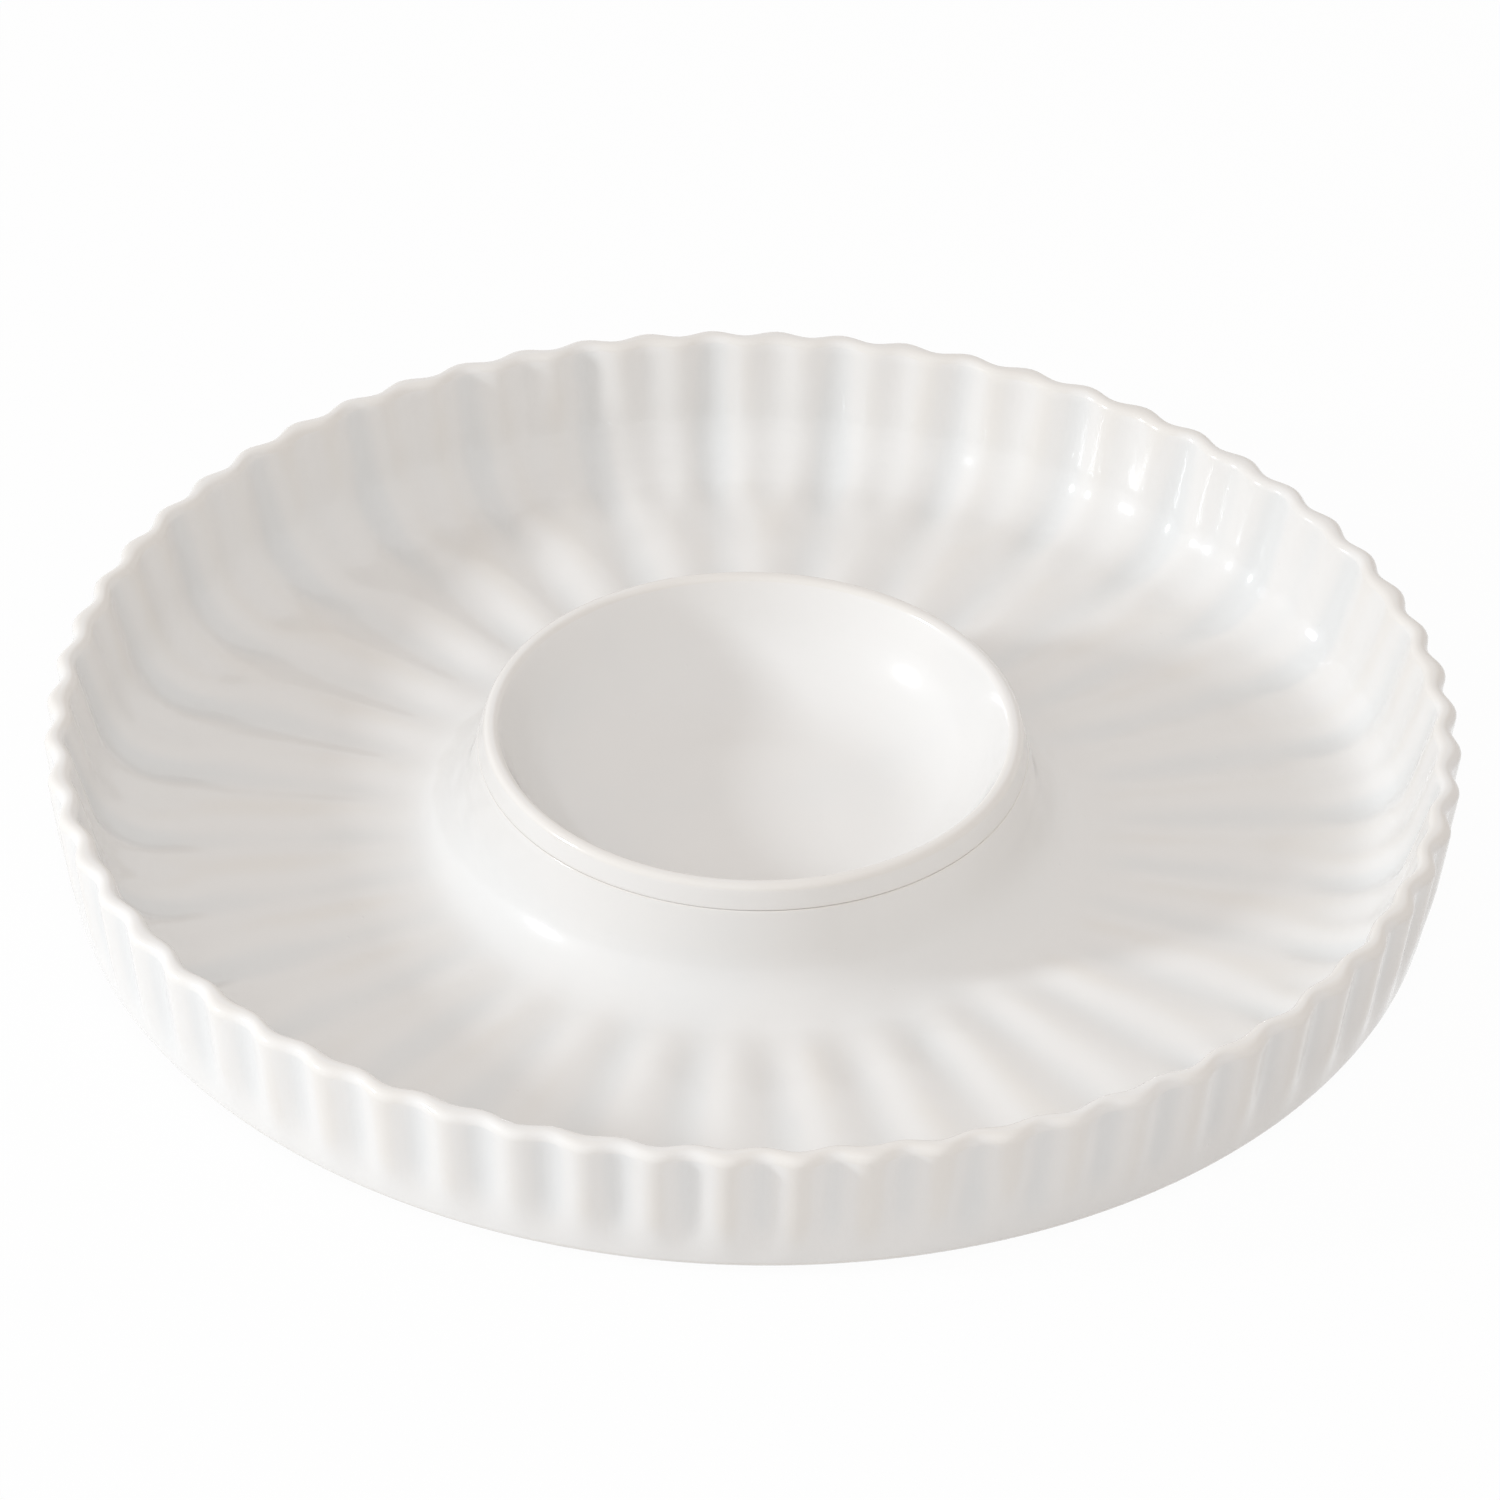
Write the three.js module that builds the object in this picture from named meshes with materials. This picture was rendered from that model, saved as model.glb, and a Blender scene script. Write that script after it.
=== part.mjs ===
// Chip and dip platter in white glazed ceramic: a round tray with a fluted wall, a ribbed floor and a
// raised collar in its middle, and a dip bowl that hangs in the collar by its lip and lifts out.
// Millimetres, +Z up. The origin is on the table, in the middle of the foot ring.
import * as THREE from "three";

// The tray.
const PLATTER_DIAMETER = 330; // over the crests of the flutes at the rim, before its edge is rounded
const PLATTER_HEIGHT = 37; // from the table to the top of the rim
const WALL_THICKNESS = 4.6; // at the rim
const WALL_FLARE = 5; // how far the outside of the wall leans out between its foot and the rim
const TROUGH_FLARE = 9; // how far the inside of the wall leans out between the floor and the rim
const TROUGH_FILLET = 17; // radius of the hollow curve between the floor and the wall
const FLOOR_THICKNESS = 4.5;
const BASE_EDGE = 2.5; // radius of the edge under the foot of the wall

// The foot ring under the tray.
const FOOT_HEIGHT = 2;
const FOOT_WIDTH = 7;
const FOOT_INSET = 12; // from the foot of the wall in to the foot ring
const FOOT_EDGE = 0.8; // radius of its two lower edges

// The flutes of the wall, of which every second one runs on over the floor as a hollow between ribs.
const FLOOR_RIBS = 32;
const FLUTES = 2 * FLOOR_RIBS;
const FLUTE_DEPTH = 2; // crest to hollow, outside
const FLUTE_FOOT = 18; // the flutes start at the base edge and have their full depth this far up
const RIM_FLUTE_DEPTH = 1.3; // crest to hollow, inside the rim
const TROUGH_FLUTE_DEPTH = 0.9; // crest to hollow, on the curve between the wall and the floor
const FLUTE_REACH = 26; // how far the flutes run in over the floor
const RIB_DEPTH = 1.3; // crest to hollow, on the floor
const RIM_RIB_DEPTH = 0.8; // crest to hollow, where the ribs end inside the rim
const RIB_RISE = 26; // from the foot of the collar's flank out to where the ribs have their full depth

// The collar, whose top carries the lip of the bowl.
const COLLAR_FLARE = 7; // how far its flank leans out between the top of the lip and the floor
const COLLAR_FILLET = 16; // radius of the hollow curve between the flank and the floor
const COLLAR_EDGE = 0.5; // radius of the two edges of its top
const SEAT_GAP = 0.3; // between the lip and the top of the collar
const WELL_CLEARANCE = 0.6; // between the bowl and the collar, just under the lip
const WELL_DRAFT = 2.5; // how much the collar narrows inside, between its top and the floor
const WELL_FILLET = 4; // radius of the hollow curve between the collar's inside and the floor

// The dip bowl. Its lip carries the collar's flank on up to a thin edge.
const LIP_DIAMETER = 125.4; // over the outside of its top
const LIP_WIDTH = 3; // across its top
const LIP_DEPTH = 6; // from its top down to its seat on the collar
const LIP_FOOT_EDGE = 0.5; // radius of the edge at the foot of its outside
const LIP_DROP = 1.2; // how far the lip stays below the rim of the tray
const BOWL_WALL = 2.6;
const BOWL_TAPER = 11; // how much the bowl's inside narrows between the lip and its floor
const BOWL_FILLET = 25; // radius of the hollow curve inside, between the floor and the wall
const BOWL_FOOT_HEIGHT = 1.2;
const BOWL_FOOT_WIDTH = 4;
const BOWL_FOOT_EDGE = 0.4; // radius of its two lower edges
const BOWL_FOOT_INSET = 20; // from the corner of the bowl's outside in to its foot ring
const BOWL_FOOT_GAP = 1; // between the bowl's foot ring and the floor of the collar

// The rim and the lip are rounded to this share of their thickness on each side of their edge.
const EDGE_ROUNDNESS = 0.48;

// How many points go round a smooth ring, a ribbed ring and a fluted ring.
const POINTS_PER_WAVE = 4;
const SMOOTH = FLUTES;
const RIBBED = POINTS_PER_WAVE * FLOOR_RIBS;
const FLUTED = POINTS_PER_WAVE * FLUTES;

const OUTWARD = new THREE.Vector2(1, 0);

// A section is a list of corners in the half plane of radius r and height z, which goes out along the
// top of a piece and back along its underside. A corner may be rounded, and carries the depth of the
// flutes and ribs there. This turns the corners into stations, the points at which rings are set: one
// for a sharp corner, and several along the arc of a rounded one. The flutes and ribs press the surface
// into the clay, against its normal, or along the corner's own push.
function stationsOf(section) {
  const stations = [];
  section.forEach((corner, i) => {
    const here = new THREE.Vector2(corner.r, corner.z);
    const before = section[Math.max(i - 1, 0)];
    const after = section[Math.min(i + 1, section.length - 1)];
    const arriving = here.clone().sub(new THREE.Vector2(before.r, before.z)).normalize();
    const leaving = new THREE.Vector2(after.r, after.z).sub(here).normalize();
    const angle = Math.atan2(arriving.cross(leaving), arriving.dot(leaving));
    const radius = corner.round ?? 0;
    const steps = corner.steps ?? 0;
    const start = here.clone().addScaledVector(arriving, -radius * Math.tan(Math.abs(angle) / 2));
    const normal = new THREE.Vector2(-arriving.y, arriving.x);
    const centre = start.clone().addScaledVector(normal, radius * Math.sign(angle));
    for (let step = 0; step <= steps; step++) {
      const share = steps > 0 ? step / steps : 0;
      const at = start.clone().rotateAround(centre, angle * share);
      const into = normal.clone().negate().rotateAround(new THREE.Vector2(), angle * share);
      stations.push({ ...corner, r: at.x, z: at.y, push: corner.push ?? into });
    }
  });
  return stations;
}

// The ring of points at a station. On the axis it is a single point.
function ringAt({ r, z, push, points, flute = 0, rib = 0 }) {
  if (r === 0) return [new THREE.Vector3(0, 0, z)];
  return Array.from({ length: points }, (_, i) => {
    const angle = (2 * Math.PI * i) / points;
    const wave = (flute * Math.cos(FLUTES * angle) + rib * Math.cos(FLOOR_RIBS * angle)) / 2;
    const radius = r + wave * push.x;
    return new THREE.Vector3(radius * Math.cos(angle), radius * Math.sin(angle), z + wave * push.y);
  });
}

// The triangles between two rings, whose numbers of points differ by a whole factor. Each step of the
// coarser ring spans several of the finer one: the first half of those meets the start of the step,
// and the rest meets its end.
function bandBetween(earlier, later) {
  const coarse = Math.min(earlier.length, later.length);
  const factor = Math.max(earlier.length, later.length) / coarse;
  const half = Math.floor(factor / 2);
  const widens = earlier.length === coarse;
  const [few, many] = widens ? [earlier, later] : [later, earlier];
  const triangles = [];
  const add = (a, b, c) => triangles.push(widens ? [a, b, c] : [a, c, b]);
  few.forEach((from, i) => {
    const to = few[(i + 1) % coarse];
    for (let k = 0; k < factor; k++) {
      const near = many[i * factor + k];
      const next = many[(i * factor + k + 1) % many.length];
      add(k < half ? from : to, near, next);
    }
    if (coarse > 1) add(from, many[i * factor + half], to);
  });
  return triangles;
}

// A section turned about Z, as one closed surface.
function turned(section) {
  const rings = stationsOf(section).map(ringAt);
  const corners = rings.slice(1).flatMap((ring, i) => bandBetween(rings[i], ring).flat());
  return new THREE.BufferGeometry().setFromPoints(corners);
}

// A piece in white glaze, from its section.
function glazed(name, section) {
  const glaze = new THREE.MeshStandardMaterial({ color: 0xf1efea, roughness: 0.18, metalness: 0 });
  const mesh = new THREE.Mesh(turned(section), glaze);
  mesh.name = name;
  return mesh;
}

// Heights, from the table up.
const underside = FOOT_HEIGHT;
const floorTop = underside + FLOOR_THICKNESS;
const lipTop = PLATTER_HEIGHT - LIP_DROP;
const lipUnder = lipTop - LIP_DEPTH;
const collarTop = lipUnder - SEAT_GAP;
const bowlFoot = floorTop + BOWL_FOOT_GAP;
const bowlUnder = bowlFoot + BOWL_FOOT_HEIGHT;
const bowlFloor = bowlUnder + BOWL_WALL;

// Radii of the bowl. Its outside runs parallel to its inside, one wall away.
const lipRadius = LIP_DIAMETER / 2;
const lipInside = lipRadius - LIP_WIDTH;
const floorCorner = lipInside - BOWL_TAPER;
const bowlLean = BOWL_TAPER / (lipTop - bowlFloor);
const wallAcross = BOWL_WALL * Math.hypot(1, bowlLean);
const neckRadius = lipInside + wallAcross - bowlLean * LIP_DEPTH;
const underCorner = floorCorner + wallAcross - bowlLean * BOWL_WALL;
const bowlFootRadius = underCorner - BOWL_FOOT_INSET;

// Radii of the tray, along the middle line of the flutes.
const rimRadius = PLATTER_DIAMETER / 2 - FLUTE_DEPTH / 2;
const rimInside = rimRadius - WALL_THICKNESS;
const troughRadius = rimInside - TROUGH_FLARE;
const baseRadius = rimRadius - WALL_FLARE;
const flutesFull = baseRadius + (WALL_FLARE * FLUTE_FOOT) / (PLATTER_HEIGHT - underside);
const footRadius = baseRadius - FOOT_INSET;
const wellRadius = neckRadius + WELL_CLEARANCE;

// Radii along the collar's flank, which runs from the top of the lip down to the floor.
const flankLean = COLLAR_FLARE / (lipTop - floorTop);
const lipFoot = lipRadius + flankLean * LIP_DEPTH;
const collarRadius = lipFoot + flankLean * SEAT_GAP;
const collarFoot = lipRadius + COLLAR_FLARE;

// The tray: out over the floor inside the collar, over the collar, the ribbed floor and the fluted wall
// to the rim, and back underneath.
const rim = {
  z: PLATTER_HEIGHT,
  round: EDGE_ROUNDNESS * WALL_THICKNESS,
  steps: 2,
  push: OUTWARD,
  points: FLUTED,
};
const troughWave = { flute: TROUGH_FLUTE_DEPTH, rib: RIB_DEPTH };
const collarEdge = { z: collarTop, round: COLLAR_EDGE, steps: 2, points: SMOOTH };
const footEdge = { z: 0, round: FOOT_EDGE, steps: 1, points: SMOOTH };
const platter = glazed("platter", [
  { r: 0, z: floorTop },
  { r: wellRadius - WELL_DRAFT, z: floorTop, round: WELL_FILLET, steps: 2, points: SMOOTH },
  { r: wellRadius, ...collarEdge },
  { r: collarRadius, ...collarEdge },
  { r: collarFoot, z: floorTop, round: COLLAR_FILLET, steps: 5, points: SMOOTH },
  { r: collarFoot + RIB_RISE, z: floorTop, rib: RIB_DEPTH, points: RIBBED },
  { r: troughRadius - FLUTE_REACH, z: floorTop, rib: RIB_DEPTH, points: FLUTED },
  { r: troughRadius, z: floorTop, round: TROUGH_FILLET, steps: 4, ...troughWave, points: FLUTED },
  { r: rimInside, ...rim, flute: RIM_FLUTE_DEPTH, rib: RIM_RIB_DEPTH },
  { r: rimRadius, ...rim, flute: FLUTE_DEPTH },
  { r: flutesFull, z: underside + FLUTE_FOOT, flute: FLUTE_DEPTH, push: OUTWARD, points: FLUTED },
  { r: baseRadius, z: underside, round: BASE_EDGE, steps: 3, points: SMOOTH },
  { r: footRadius, z: underside, points: SMOOTH },
  { r: footRadius, ...footEdge },
  { r: footRadius - FOOT_WIDTH, ...footEdge },
  { r: footRadius - FOOT_WIDTH, z: underside, points: SMOOTH },
  { r: 0, z: underside },
]);

// The bowl: out over its floor, up its inside and over the lip, and back down its outside to its foot.
const lipEdge = { z: lipTop, round: EDGE_ROUNDNESS * LIP_WIDTH, steps: 3, points: SMOOTH };
const bowlFootEdge = { z: bowlFoot, round: BOWL_FOOT_EDGE, steps: 1, points: SMOOTH };
const dipBowl = glazed("dip_bowl", [
  { r: 0, z: bowlFloor },
  { r: floorCorner, z: bowlFloor, round: BOWL_FILLET, steps: 5, points: SMOOTH },
  { r: lipInside, ...lipEdge },
  { r: lipRadius, ...lipEdge },
  { r: lipFoot, z: lipUnder, round: LIP_FOOT_EDGE, steps: 1, points: SMOOTH },
  { r: neckRadius, z: lipUnder, points: SMOOTH },
  { r: underCorner, z: bowlUnder, round: BOWL_FILLET + BOWL_WALL, steps: 5, points: SMOOTH },
  { r: bowlFootRadius, z: bowlUnder, points: SMOOTH },
  { r: bowlFootRadius, ...bowlFootEdge },
  { r: bowlFootRadius - BOWL_FOOT_WIDTH, ...bowlFootEdge },
  { r: bowlFootRadius - BOWL_FOOT_WIDTH, z: bowlUnder, points: SMOOTH },
  { r: 0, z: bowlUnder },
]);

const chipAndDip = new THREE.Group();
chipAndDip.add(platter, dipBowl);

export default chipAndDip;
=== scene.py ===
import math

import bpy
import numpy as np
from mathutils import Matrix, Vector


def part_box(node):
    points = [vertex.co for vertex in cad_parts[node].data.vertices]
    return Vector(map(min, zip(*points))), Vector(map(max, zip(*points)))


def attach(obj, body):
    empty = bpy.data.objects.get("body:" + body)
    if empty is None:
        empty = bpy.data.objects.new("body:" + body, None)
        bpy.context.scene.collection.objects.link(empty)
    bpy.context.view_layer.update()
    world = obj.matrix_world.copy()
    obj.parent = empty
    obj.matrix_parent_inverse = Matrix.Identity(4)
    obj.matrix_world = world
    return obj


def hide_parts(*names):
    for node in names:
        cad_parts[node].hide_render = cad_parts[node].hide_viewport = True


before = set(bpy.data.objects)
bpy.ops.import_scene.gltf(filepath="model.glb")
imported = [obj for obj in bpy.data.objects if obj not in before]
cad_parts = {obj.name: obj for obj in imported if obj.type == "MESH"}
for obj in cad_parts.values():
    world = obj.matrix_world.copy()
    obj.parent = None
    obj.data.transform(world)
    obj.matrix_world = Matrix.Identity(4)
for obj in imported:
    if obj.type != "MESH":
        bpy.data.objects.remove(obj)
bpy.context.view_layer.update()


# The platter: one piece of white stoneware, pressed in a mould, with a fluted wall, a ribbed floor and a
# smooth collar in its middle. It is dipped in a white glaze that runs thin over crests and edges, and its
# foot ring is wiped bare so that it doesn't stick in the kiln. The hollows and inside curves are painted a
# cooler,
# darker white: partly the glaze gathering there, partly painted shade.
mm = 0.001
platter_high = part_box("platter")[1]
bowl_low, bowl_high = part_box("dip_bowl")

# The flutes of the wall, of which every second one runs on over the floor as a hollow between ribs. Depths
# are from crest to hollow.
floor_ribs = 32
flutes = 2 * floor_ribs
flute_depth = 2 * mm
rim_flute_depth = 1.3 * mm
trough_flute_depth = 0.9 * mm
flute_foot = 18 * mm
flute_reach = 26 * mm
flute_full_at = 10 * mm  # on the floor, from the foot of the wall
rib_depth = 1.3 * mm
rim_rib_depth = 0.8 * mm
rib_start = 4 * mm  # from the foot of the collar's flank
rib_rise = 26 * mm

# The wall, the floor and the foot ring.
wall_thickness = 4.6 * mm
wall_flare = 5 * mm
rim_rounding = 2.2 * mm
rim_edge_loss = 0.36 * mm  # what the rounding of the rim takes off its radius
trough_flare = 9 * mm
trough_fillet = 17 * mm
floor_thickness = 4.5 * mm
base_edge = 2.5 * mm
foot_height = 2 * mm
foot_width = 7 * mm
foot_inset = 12 * mm
foot_edge = 0.8 * mm
rim_height = platter_high.z
rim_radius = platter_high.x + rim_edge_loss - flute_depth / 2
rim_inside = rim_radius - wall_thickness
trough_radius = rim_inside - trough_flare
base_radius = rim_radius - wall_flare
underside = foot_height
floor_top = underside + floor_thickness
foot_radius = base_radius - foot_inset
foot_inside = foot_radius - foot_width

# The collar. Its flank runs on up the outside of the bowl's lip, which rests on it.
lip_depth = 6 * mm
lip_lean = 1.29 * mm  # from the outside of the lip's top out to its rounded foot
seat_gap = 0.08 * mm
collar_flare = 7 * mm
collar_fillet = 16 * mm
collar_edge = 0.3 * mm
well_inset = 2.2 * mm
well_draft = 2.5 * mm
well_fillet = 4 * mm
lip_top = bowl_high.z
lip_under = lip_top - lip_depth
lip_radius = bowl_high.x - lip_lean
flank_lean = collar_flare / (lip_top - floor_top)
collar_top = lip_under - seat_gap
collar_radius = lip_radius + flank_lean * (lip_top - collar_top)
collar_foot = lip_radius + collar_flare
well_radius = lip_radius - well_inset
well_foot = well_radius - well_draft

columns_per_flute = 10
arc_step = math.radians(13)


def ease(value, start, end):
    """Rises from 0 at start to 1 at end as 3t^2 - 2t^3, where t is the share of the way from start to end."""
    t = np.clip((value - start) / (end - start), 0, 1)
    return t * t * (3 - 2 * t)


def section_rows(corners):
    """Rows (radius, height, normal out, normal up) along the section of a turned piece, from axis to axis.

    Each corner is (radius, height, rounding, rows on the straight leg after it). A corner is cut off by an
    arc that touches both legs: it starts rounding * tan(turn / 2) before the corner, and where it heads at
    the angle h it has moved by rounding * (sin h - sin start, cos start - cos h), reversed on a right turn.
    The normal lies a quarter turn to the left of the heading.
    """
    points = np.array([corner[:2] for corner in corners])
    legs = np.diff(points, axis=0)
    headings = np.arctan2(legs[:, 1], legs[:, 0])
    arcs = [np.array([[*points[0], 0, 1]])]
    for corner, point, arriving, leaving in zip(corners[1:-1], points[1:-1], headings, headings[1:]):
        turn = (leaving - arriving + math.pi) % (2 * math.pi) - math.pi
        steps = max(1, math.ceil(abs(turn) / arc_step))
        h = arriving + turn * np.linspace(0, 1, steps + 1)
        along = np.array([math.cos(arriving), math.sin(arriving)])
        start = point - corner[2] * math.tan(abs(turn) / 2) * along
        radius = math.copysign(corner[2], turn)
        r = start[0] + radius * (np.sin(h) - math.sin(arriving))
        z = start[1] + radius * (math.cos(arriving) - np.cos(h))
        arcs.append(np.stack([r, z, -np.sin(h), np.cos(h)], axis=1))
    arcs.append(np.array([[*points[-1], 0, -1]]))
    rows = [arcs[0]]
    for corner, arc, following in zip(corners, arcs, arcs[1:]):
        share = np.linspace(0, 1, corner[3] + 2)[1:-1, None]
        leg = arc[-1] + share * (following[0] - arc[-1])
        leg[:, 2:] = arc[-1, 2:]
        rows += [leg, following]
    return np.concatenate(rows)


def turned_mesh(name, rows, radius, height, attributes):
    """A closed mesh on a grid of rows and columns: the point at a row and a column lies at that radius and
    height and at the column's share of a full turn. The first and the last row close on the axis."""
    count, columns = radius.shape
    angle = 2 * np.pi * np.arange(columns) / columns
    grid = np.stack([radius * np.cos(angle), radius * np.sin(angle), height], axis=-1).reshape(-1, 3)
    poles = np.array([[0, 0, rows[0, 1]], [0, 0, rows[-1, 1]]])
    index = np.arange(count * columns).reshape(count, columns)
    onward = np.roll(index, -1, axis=1)
    quads = np.stack([index[:-1], index[1:], onward[1:], onward[:-1]], axis=-1).reshape(-1, 4)
    top, bottom = np.full(columns, count * columns), np.full(columns, count * columns + 1)
    fans = np.concatenate([
        np.stack([top, index[0], onward[0]], axis=-1),
        np.stack([bottom, onward[-1], index[-1]], axis=-1),
    ])
    mesh = bpy.data.meshes.new(name)
    mesh.from_pydata(np.concatenate([grid, poles]), [], quads.tolist() + fans.tolist())
    for label, values in attributes.items():
        layer = mesh.attributes.new(label, "FLOAT", "POINT")
        layer.data.foreach_set("value", np.append(values, [0, 0]).astype(np.float32))
    mesh.shade_smooth()
    piece = bpy.data.objects.new(name, mesh)
    bpy.context.collection.objects.link(piece)
    return piece


def edge_break(rows, reach):
    """How sharply the section turns at each row: the change of its heading over the length of two rows, times
    reach, from -1 in a hollow curve of that radius or less to 1 on an edge of that radius or less."""
    heading = np.unwrap(np.arctan2(-rows[:, 2], rows[:, 3]))
    length = np.cumsum(np.hypot(*np.diff(rows[:, :2], axis=0, prepend=rows[:1, :2]).T))
    turning = np.gradient(heading) / np.maximum(np.gradient(length), 1e-6)
    return np.clip(-turning * reach, -1, 1)


platter_rows = section_rows([
    (0, floor_top, 0, 3),
    (well_foot, floor_top, well_fillet, 2),
    (well_radius, collar_top, collar_edge, 0),
    (collar_radius, collar_top, collar_edge, 5),
    (collar_foot, floor_top, collar_fillet, 16),
    (trough_radius, floor_top, trough_fillet, 8),
    (rim_inside, rim_height, rim_rounding, 0),
    (rim_radius, rim_height, rim_rounding, 12),
    (base_radius, underside, base_edge, 1),
    (foot_radius, underside, foot_edge, 0),
    (foot_radius, 0, foot_edge, 1),
    (foot_inside, 0, foot_edge, 0),
    (foot_inside, underside, foot_edge, 3),
    (0, underside, 0, 0),
])
grid_rows = platter_rows[1:-1, :, None]
r, z, normal_out, normal_up = grid_rows[:, 0], grid_rows[:, 1], grid_rows[:, 2], grid_rows[:, 3]
# The flutes fade out over the floor and at the foot of the wall. The ribs rise out of the floor round the
# collar and run up the inside of the wall, weaker towards the rim, where the flutes are at their deepest.
# Over the rim the waves of the inside give way to those of the outside while the normal swings round.
rim_swing = 0.8
flute_start = trough_radius - flute_reach
on_floor = ease(r, flute_start, trough_radius - flute_full_at)
above_base = ease(z, underside, underside + flute_foot)
up_wall = ease(z, floor_top, rim_height)
on_wall = (z > floor_top + trough_fillet) & (r > trough_radius)
past_rim = np.where(on_wall, ease(normal_out, -rim_swing, rim_swing), normal_up < 0)
inside_depth = trough_flute_depth + up_wall * (rim_flute_depth - trough_flute_depth)
inside_flute = (1 - past_rim) * on_floor * inside_depth
outside_flute = past_rim * above_base * (r > trough_radius) * flute_depth
rib_share = (1 - past_rim) * ease(r, collar_foot + rib_start, collar_foot + rib_rise)
rib = rib_share * (rib_depth + up_wall * (rim_rib_depth - rib_depth))
platter_columns = columns_per_flute * flutes
theta = 2 * np.pi * np.arange(platter_columns) / platter_columns
wave = ((inside_flute + outside_flute) * np.cos(flutes * theta) + rib * np.cos(floor_ribs * theta)) / 2
# On the floor the wave goes into the clay; from the curve of the trough upwards it goes outwards.
outwards = ease(z, floor_top, floor_top + trough_fillet) * (r > flute_start)
push_out = np.where(normal_up < 0, 1, outwards - (1 - outwards) * normal_out)
push_up = -(1 - outwards) * np.maximum(normal_up, 0)
# Where the glaze runs thin, on crests and edges, and where it is wiped off the foot. Below zero, in the
# hollows and inside curves, thin calls for the darker pooled colour, partly painted shade.
edge_reach = 2.5 * mm
wiped_to = 0.3 * mm
glazed_from = 0.9 * mm
raised = wave * (push_out * normal_out + push_up * normal_up) / (flute_depth / 2)
thin = np.clip(raised + edge_break(platter_rows, edge_reach)[1:-1, None], -1, 1)
bare = (1 - ease(z, wiped_to, glazed_from)) * np.ones_like(theta)
platter = turned_mesh("platter_glazed", platter_rows, r + wave * push_out, z + wave * push_up,
                      {"thin": thin.ravel(), "bare": bare.ravel()})


def glaze_group():
    """The look of a white glaze over stoneware: where it runs thin the clay shows warm through it, where it
    gathers in hollows and inside curves it is painted cooler and darker, partly for the thicker glaze and
    partly as painted shade, and its skin is wavy, with a fine peel and pinholes."""
    group = bpy.data.node_groups.new("white_glaze", "ShaderNodeTree")
    face = group.interface
    for label, kind in (("Thin", "NodeSocketFloat"), ("Bare", "NodeSocketFloat"),
                        ("Glaze", "NodeSocketColor"), ("Pooled Shade", "NodeSocketColor"),
                        ("Clay", "NodeSocketColor")):
        face.new_socket(name=label, in_out="INPUT", socket_type=kind)
    for label, kind in (("Color", "NodeSocketColor"), ("Roughness", "NodeSocketFloat"),
                        ("Gloss", "NodeSocketFloat"), ("Height", "NodeSocketFloat")):
        face.new_socket(name=label, in_out="OUTPUT", socket_type=kind)
    nodes, links = group.nodes, group.links
    given, result = nodes.new("NodeGroupInput"), nodes.new("NodeGroupOutput")
    place = nodes.new("ShaderNodeTexCoord").outputs["Object"]

    def noise(scale, detail):
        node = nodes.new("ShaderNodeTexNoise")
        node.inputs["Scale"].default_value = scale
        node.inputs["Detail"].default_value = detail
        links.new(place, node.inputs["Vector"])
        return node.outputs["Fac"]

    def ramp(value, low, high, to_low, to_high):
        node = nodes.new("ShaderNodeMapRange")
        node.interpolation_type = "SMOOTHSTEP"
        for label, number in (("From Min", low), ("From Max", high), ("To Min", to_low), ("To Max", to_high)):
            node.inputs[label].default_value = number
        links.new(value, node.inputs["Value"])
        return node.outputs["Result"]

    def math_node(operation, a, b):
        node = nodes.new("ShaderNodeMath")
        node.operation = operation
        for socket, value in zip(node.inputs, (a, b)):
            if isinstance(value, (int, float)):
                socket.default_value = value
            else:
                links.new(value, socket)
        return node.outputs[0]

    def mixed(share, a, b):
        # A Mix node has its two colours at inputs 6 and 7, and their mixture at output 2.
        node = nodes.new("ShaderNodeMix")
        node.data_type = "RGBA"
        links.new(share, node.inputs["Factor"])
        links.new(a, node.inputs[6])
        links.new(b, node.inputs[7])
        return node.outputs[2]

    # Noise scales are waves in a metre.
    drift = ramp(noise(scale=22, detail=3), low=0.3, high=0.7, to_low=-0.35, to_high=0.35)
    run = math_node("ADD", given.outputs["Thin"], drift)
    # The darker pooled colour in hollows and inside curves: partly glaze gathered there, partly painted
    # shade.
    pooled_shade_share = ramp(run, low=-1.1, high=0.1, to_low=0.75, to_high=0.0)
    pooled_and_shaded = mixed(pooled_shade_share, given.outputs["Glaze"], given.outputs["Pooled Shade"])
    broken_share = ramp(run, low=0.25, high=1.25, to_low=0.0, to_high=0.42)
    broken = mixed(broken_share, pooled_and_shaded, given.outputs["Clay"])
    fired = mixed(given.outputs["Bare"], broken, given.outputs["Clay"])
    links.new(fired, result.inputs["Color"])

    # With numbers instead of colours, a Mix node's inputs are 2 and 3, and its output is 0.
    glossy = ramp(noise(scale=60, detail=4), low=0.3, high=0.75, to_low=0.30, to_high=0.45)
    grain = ramp(noise(scale=2600, detail=2), low=0.3, high=0.7, to_low=0.72, to_high=0.92)
    rough = nodes.new("ShaderNodeMix")
    links.new(given.outputs["Bare"], rough.inputs["Factor"])
    links.new(glossy, rough.inputs[2])
    links.new(grain, rough.inputs[3])
    links.new(rough.outputs[0], result.inputs["Roughness"])
    links.new(math_node("SUBTRACT", 1.0, given.outputs["Bare"]), result.inputs["Gloss"])

    pits = nodes.new("ShaderNodeTexVoronoi")
    pits.inputs["Scale"].default_value = 130
    links.new(place, pits.inputs["Vector"])
    pinholes = ramp(pits.outputs["Distance"], low=0.02, high=0.06, to_low=-0.5, to_high=0.0)
    peel = math_node("MULTIPLY", noise(scale=700, detail=2), 0.12)
    skin = math_node("ADD", noise(scale=75, detail=2), peel)
    sand = math_node("MULTIPLY", noise(scale=3200, detail=3), 0.8)
    sandy = math_node("MULTIPLY", sand, given.outputs["Bare"])
    links.new(math_node("ADD", math_node("ADD", skin, pinholes), sandy), result.inputs["Height"])
    return group


white_glaze = glaze_group()


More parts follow.
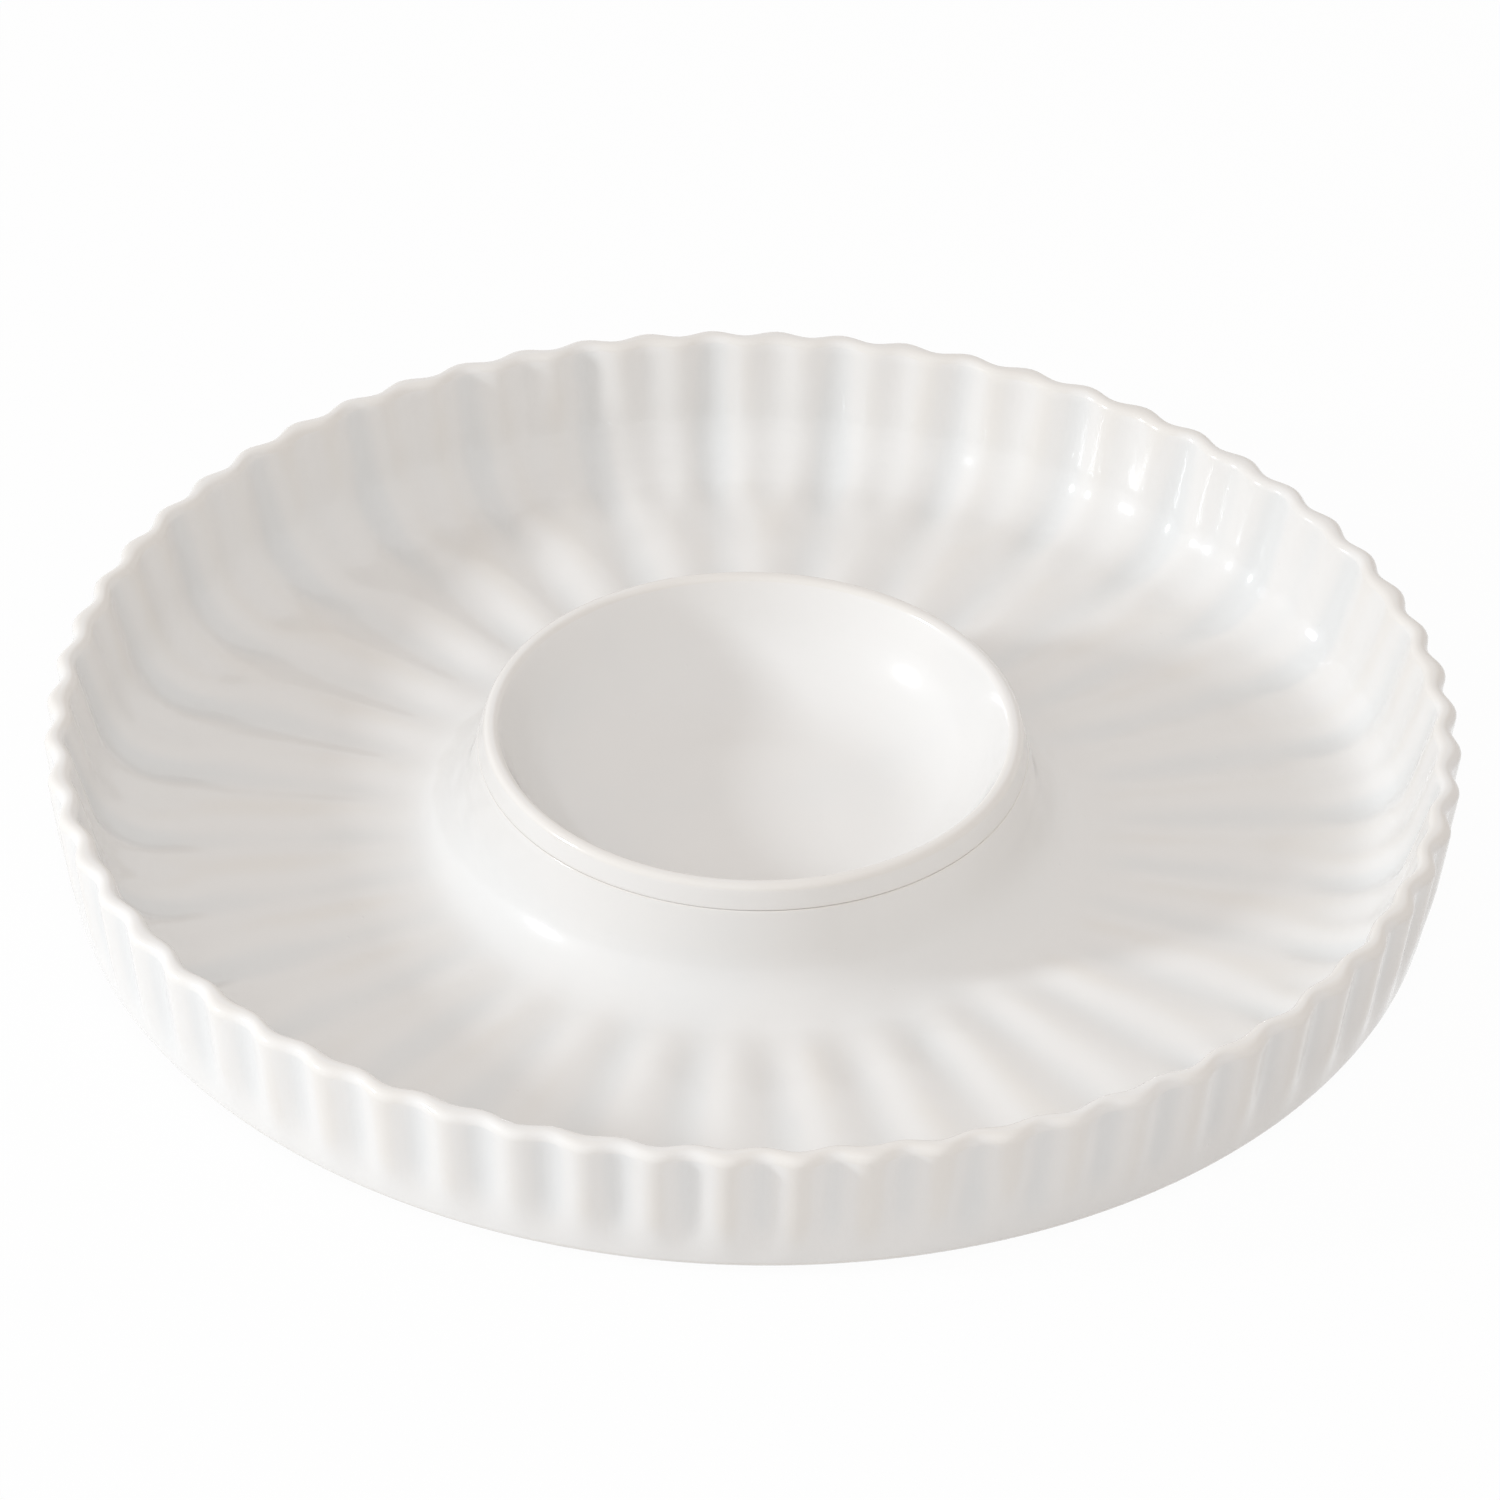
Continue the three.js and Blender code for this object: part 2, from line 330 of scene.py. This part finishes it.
def glazed_stoneware(name, glaze, pooled_and_shaded, clay):
    """Stoneware under a glossy coat of white glaze. The piece's own attributes say where the glaze runs thin,
    where hollows get the darker pooled colour, partly painted shade, and where the clay is bare."""
    material = bpy.data.materials.new(name)
    material.use_nodes = True
    nodes, links = material.node_tree.nodes, material.node_tree.links
    shader = nodes["Principled BSDF"]
    look = nodes.new("ShaderNodeGroup")
    look.node_tree = white_glaze
    for label, colour in (("Glaze", glaze), ("Pooled Shade", pooled_and_shaded), ("Clay", clay)):
        look.inputs[label].default_value = (*colour, 1)
    for label, attribute in (("Thin", "thin"), ("Bare", "bare")):
        reader = nodes.new("ShaderNodeAttribute")
        reader.attribute_name = attribute
        links.new(reader.outputs["Fac"], look.inputs[label])
    bump = nodes.new("ShaderNodeBump")
    bump.inputs["Strength"].default_value = 0.25
    bump.inputs["Distance"].default_value = 0.3 * mm
    links.new(look.outputs["Height"], bump.inputs["Height"])
    links.new(look.outputs["Color"], shader.inputs["Base Color"])
    links.new(look.outputs["Roughness"], shader.inputs["Roughness"])
    links.new(look.outputs["Gloss"], shader.inputs["Coat Weight"])
    links.new(bump.outputs["Normal"], shader.inputs["Normal"])
    shader.inputs["Coat Roughness"].default_value = 0.1
    shader.inputs["Coat IOR"].default_value = 1.5
    shader.inputs["Specular IOR Level"].default_value = 0.1
    return material


glaze_white = (0.84, 0.83, 0.81)
# The cooler, darker white of the hollows and inside curves: partly pooled glaze, partly painted shade.
pooled_white_and_shade = (0.78, 0.79, 0.785)
bare_clay = (0.80, 0.755, 0.69)
platter.data.materials.append(glazed_stoneware("platter_glaze", glaze_white, pooled_white_and_shade, bare_clay))
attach(platter, "platter")
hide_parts("platter")


# The dip bowl: a smooth bowl of the same stoneware and glaze, cast by itself. Its lip rests on the top of the
# collar and carries the collar's flank on up to a thin edge, and the bowl lifts out to be filled and washed.
bowl_wall = 2.6 * mm
bowl_taper = 11 * mm
bowl_fillet = 25 * mm
bowl_foot_height = 1.2 * mm
bowl_foot_width = 4 * mm
bowl_foot_inset = 20 * mm
bowl_foot_edge = 0.4 * mm
lip_width = 3 * mm
lip_rounding = 1.8 * mm
lip_foot_edge = 0.3 * mm
neck_rounding = 0.6 * mm
bowl_foot = bowl_low.z
bowl_under = bowl_foot + bowl_foot_height
bowl_floor = bowl_under + bowl_wall
lip_inside = lip_radius - lip_width
lip_foot = lip_radius + flank_lean * lip_depth
floor_corner = lip_inside - bowl_taper
# The bowl's outside runs parallel to its inside, one wall away.
bowl_lean = bowl_taper / (lip_top - bowl_floor)
wall_across = bowl_wall * math.hypot(1, bowl_lean)
neck_radius = lip_inside + wall_across - bowl_lean * lip_depth
under_corner = floor_corner + wall_across - bowl_lean * bowl_wall
bowl_foot_radius = under_corner - bowl_foot_inset
bowl_foot_inside = bowl_foot_radius - bowl_foot_width
bowl_columns = 320
bowl_rows = section_rows([
    (0, bowl_floor, 0, 6),
    (floor_corner, bowl_floor, bowl_fillet, 3),
    (lip_inside, lip_top, lip_rounding, 0),
    (lip_radius, lip_top, lip_rounding, 2),
    (lip_foot, lip_under, lip_foot_edge, 1),
    (neck_radius, lip_under, neck_rounding, 3),
    (under_corner, bowl_under, bowl_fillet + bowl_wall, 2),
    (bowl_foot_radius, bowl_under, bowl_foot_edge, 0),
    (bowl_foot_radius, bowl_foot, bowl_foot_edge, 1),
    (bowl_foot_inside, bowl_foot, bowl_foot_edge, 0),
    (bowl_foot_inside, bowl_under, bowl_foot_edge, 3),
    (0, bowl_under, 0, 0),
])
bowl_wiped_to = 0.2 * mm
bowl_glazed_from = 0.6 * mm
bowl_r, bowl_z = bowl_rows[1:-1, 0, None], bowl_rows[1:-1, 1, None]
around = np.ones((1, bowl_columns))
# In the bowl's inside curves edge_break goes below zero and calls for the darker pooled colour, partly
# painted shade.
bowl_thin = edge_break(bowl_rows, edge_reach)[1:-1, None] * around
bowl_bare = (1 - ease(bowl_z - bowl_foot, bowl_wiped_to, bowl_glazed_from)) * around
dip_bowl = turned_mesh("dip_bowl_glazed", bowl_rows, bowl_r * around, bowl_z * around,
                       {"thin": bowl_thin.ravel(), "bare": bowl_bare.ravel()})
dip_bowl.data.materials.append(glazed_stoneware("bowl_glaze", glaze_white, pooled_white_and_shade, bare_clay))
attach(dip_bowl, "dip_bowl")
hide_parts("dip_bowl")


# The floor: a large white studio sheet under the platter. It shows white to the camera and keeps a trace of
# the platter's shadow.
sheet_half_width = 6.0
sheet_colour = (0.82, 0.82, 0.82)
sheet_seen_white = 0.965
sheet_corners = sheet_half_width * np.array([(-1, -1, 0), (1, -1, 0), (1, 1, 0), (-1, 1, 0)])
sheet_mesh = bpy.data.meshes.new("studio_floor")
sheet_mesh.from_pydata(sheet_corners, [], [(0, 1, 2, 3)])
studio_floor = bpy.data.objects.new("studio_floor", sheet_mesh)
bpy.context.collection.objects.link(studio_floor)


def seen_share(tree, share):
    """A socket that is share on rays that show the surface to the camera, straight, in a reflection or
    through glass, and 0 on rays that only light something."""
    path = tree.nodes.new("ShaderNodeLightPath")
    total = path.outputs["Is Camera Ray"]
    for label in ("Is Glossy Ray", "Is Transmission Ray"):
        either = tree.nodes.new("ShaderNodeMath")
        either.operation = "MAXIMUM"
        tree.links.new(total, either.inputs[0])
        tree.links.new(path.outputs[label], either.inputs[1])
        total = either.outputs[0]
    scaled = tree.nodes.new("ShaderNodeMath")
    scaled.operation = "MULTIPLY"
    scaled.inputs[1].default_value = share
    tree.links.new(total, scaled.inputs[0])
    return scaled.outputs[0]


sheet_paint = bpy.data.materials.new("studio_white")
sheet_paint.use_nodes = True
nodes, links = sheet_paint.node_tree.nodes, sheet_paint.node_tree.links
nodes.remove(nodes["Principled BSDF"])
matt = nodes.new("ShaderNodeBsdfDiffuse")
matt.inputs["Color"].default_value = (*sheet_colour, 1)
white = nodes.new("ShaderNodeEmission")
blend = nodes.new("ShaderNodeMixShader")
links.new(seen_share(sheet_paint.node_tree, sheet_seen_white), blend.inputs["Fac"])
links.new(matt.outputs[0], blend.inputs[1])
links.new(white.outputs[0], blend.inputs[2])
links.new(blend.outputs[0], nodes["Material Output"].inputs["Surface"])
sheet_mesh.materials.append(sheet_paint)


# The light: a lamp low on the left, a little to the front, and a broad weak one over the front, both of the
# colour of daylight, in a warm white room. The room is plain white to the camera and in reflections.
daylight = (0.88, 0.94, 1.0)


def direction(azimuth, elevation):
    """The unit vector at an azimuth from +X and an elevation above the floor, in degrees: its level part is
    as long as the cosine of the elevation, and its height is the sine."""
    turn, rise = math.radians(azimuth), math.radians(elevation)
    return Vector((math.cos(rise) * math.cos(turn), math.cos(rise) * math.sin(turn), math.sin(rise)))


def lamp(name, azimuth, elevation, distance, size, power):
    """A disk lamp that looks at the origin from a distance, at an azimuth and an elevation in degrees."""
    light = bpy.data.lights.new(name, "AREA")
    light.shape = "DISK"
    light.size = size
    light.energy = power
    light.color = daylight
    towards = direction(azimuth, elevation)
    piece = bpy.data.objects.new(name, light)
    piece.location = towards * distance
    piece.rotation_euler = towards.to_track_quat("Z", "Y").to_euler()
    bpy.context.collection.objects.link(piece)
    return piece


lamp("key_lamp", azimuth=187.6, elevation=21.3, distance=2.4, size=0.33, power=27.4)
fill_lamp = lamp("fill_lamp", azimuth=265.6, elevation=50, distance=1.6, size=1.2, power=6.2)
fill_lamp.visible_glossy = False

room_light = (0.612, 0.569, 0.54)
room_seen = (1, 1, 1)
room = bpy.data.worlds.new("white_room")
bpy.context.scene.world = room
room.use_nodes = True
nodes, links = room.node_tree.nodes, room.node_tree.links
room_colour = nodes.new("ShaderNodeMix")
room_colour.data_type = "RGBA"
room_colour.inputs[6].default_value = (*room_light, 1)
room_colour.inputs[7].default_value = (*room_seen, 1)
links.new(seen_share(room.node_tree, 1.0), room_colour.inputs["Factor"])
links.new(room_colour.outputs[2], nodes["Background"].inputs["Color"])


# The camera: a long lens on the near side, 36 degrees above the floor, turned a little about its own line of
# sight. It points so that the middle of the rim falls where the photograph has it.
image_width = 1500
rim_seen_at = (753.6, 720.4)
pixels_per_radius = 708
photographed_radius = platter_high.x
camera_distance = 14 * photographed_radius
camera_roll = math.radians(1.4)
pixel = photographed_radius / pixels_per_radius
rim_middle = Vector((0, 0, rim_height))
back = direction(azimuth=-94.4, elevation=36.1)
facing = Matrix.Rotation(camera_roll, 3, back) @ back.to_track_quat("Z", "Y").to_matrix()
right, up = facing.col[0], facing.col[1]
aim = (rim_middle + (image_width / 2 - rim_seen_at[0]) * pixel * right
       - (image_width / 2 - rim_seen_at[1]) * pixel * up)
lens = bpy.data.cameras.new("camera")
lens.lens = lens.sensor_width * camera_distance / (pixel * image_width)
camera = bpy.data.objects.new("camera", lens)
camera.matrix_world = Matrix.Translation(aim + back * camera_distance) @ facing.to_4x4()
bpy.context.collection.objects.link(camera)
bpy.context.scene.camera = camera
bpy.context.scene.view_settings.view_transform = "Standard"
